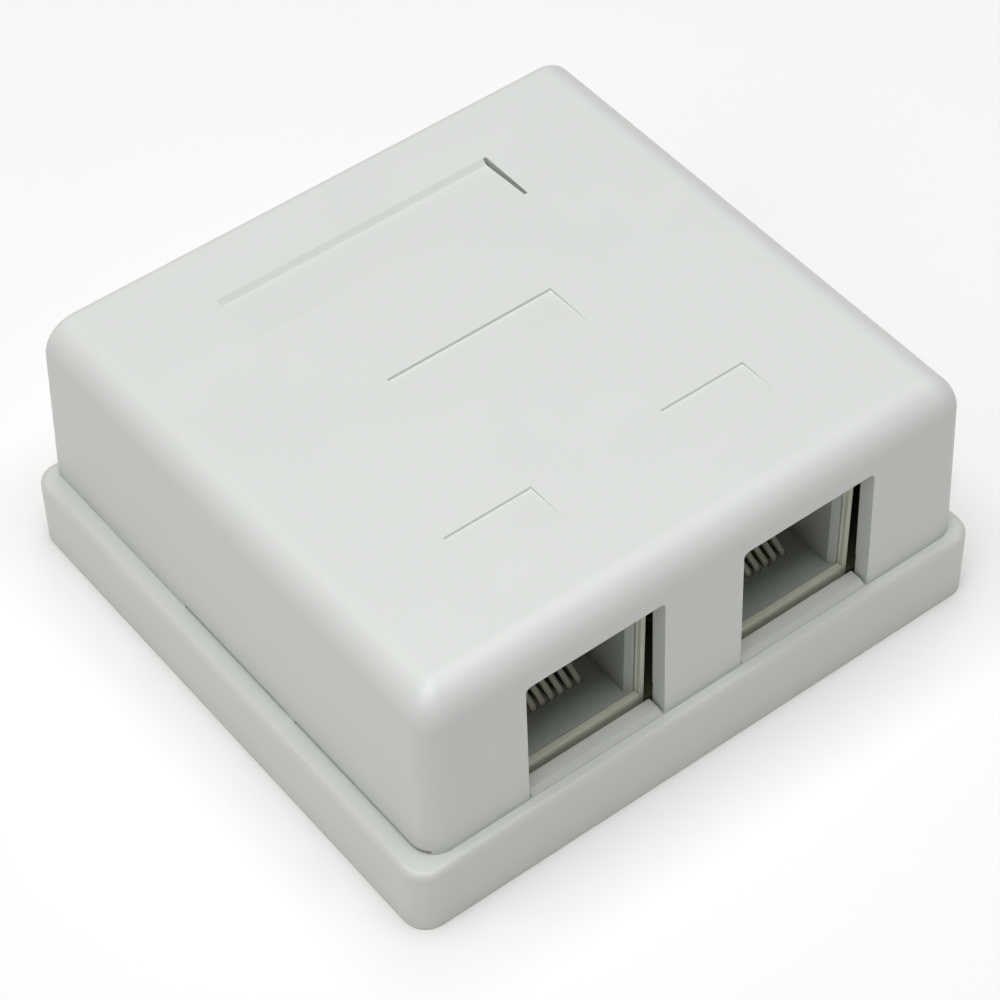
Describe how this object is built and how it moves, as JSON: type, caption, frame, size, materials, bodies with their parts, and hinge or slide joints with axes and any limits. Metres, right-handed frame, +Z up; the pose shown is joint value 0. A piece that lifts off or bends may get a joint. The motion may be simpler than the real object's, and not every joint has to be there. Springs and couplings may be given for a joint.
{
  "type": "surface mount jack box",
  "caption": "Low white wall or desk box with a round-shouldered lift-off cover over modular data jacks that open to its front, with label recesses on top.",
  "frame": {"origin": "middle of the underside of the base, on the table or wall plane", "axes": "+X along the width, to the right seen from the front; +Y to the back, away from the jack openings; +Z up, out of the wall, through the cover's top"},
  "size_m": [0.065, 0.061, 0.027],
  "materials": {
    "cover_abs": "fine moulded",
    "base_abs": "fine moulded",
    "jack_ivory": "moulded",
    "carrier_dark": "moulded",
    "contact_gold": "plated, polished",
    "board_laminate": "coated",
    "terminal_nylon": "moulded",
    "clip_tin": "tinned",
    "screw_steel": "zinc plated"
  },
  "bodies": {
    "base_unit": {"base": "base_abs", "circuit_board": "board_laminate", "board_screw_front": "screw_steel", "board_screw_back": "screw_steel", "jack_housing_left": "jack_ivory", "contact_carrier_left": "carrier_dark", "terminal_block_left": "terminal_nylon", "contact_left_1": "contact_gold", "contact_left_2": "contact_gold", "contact_left_3": "contact_gold", "contact_left_4": "contact_gold", "contact_left_5": "contact_gold", "contact_left_6": "contact_gold", "contact_left_7": "contact_gold", "contact_left_8": "contact_gold", "terminal_clip_left_1": "clip_tin", "terminal_clip_left_2": "clip_tin", "terminal_clip_left_3": "clip_tin", "terminal_clip_left_4": "clip_tin", "terminal_clip_left_5": "clip_tin", "terminal_clip_left_6": "clip_tin", "terminal_clip_left_7": "clip_tin", "terminal_clip_left_8": "clip_tin", "jack_housing_right": "jack_ivory", "contact_carrier_right": "carrier_dark", "terminal_block_right": "terminal_nylon", "contact_right_1": "contact_gold", "contact_right_2": "contact_gold", "contact_right_3": "contact_gold", "contact_right_4": "contact_gold", "contact_right_5": "contact_gold", "contact_right_6": "contact_gold", "contact_right_7": "contact_gold", "contact_right_8": "contact_gold", "terminal_clip_right_1": "clip_tin", "terminal_clip_right_2": "clip_tin", "terminal_clip_right_3": "clip_tin", "terminal_clip_right_4": "clip_tin", "terminal_clip_right_5": "clip_tin", "terminal_clip_right_6": "clip_tin", "terminal_clip_right_7": "clip_tin", "terminal_clip_right_8": "clip_tin"},
    "lid": {"cover": "cover_abs"}
  },
  "joints": [
    {"name": "cover_lift", "type": "slide", "parent": "base_unit", "child": "lid", "axis": [0, 0, 1], "range_m": [0, 0.03]}
  ]
}
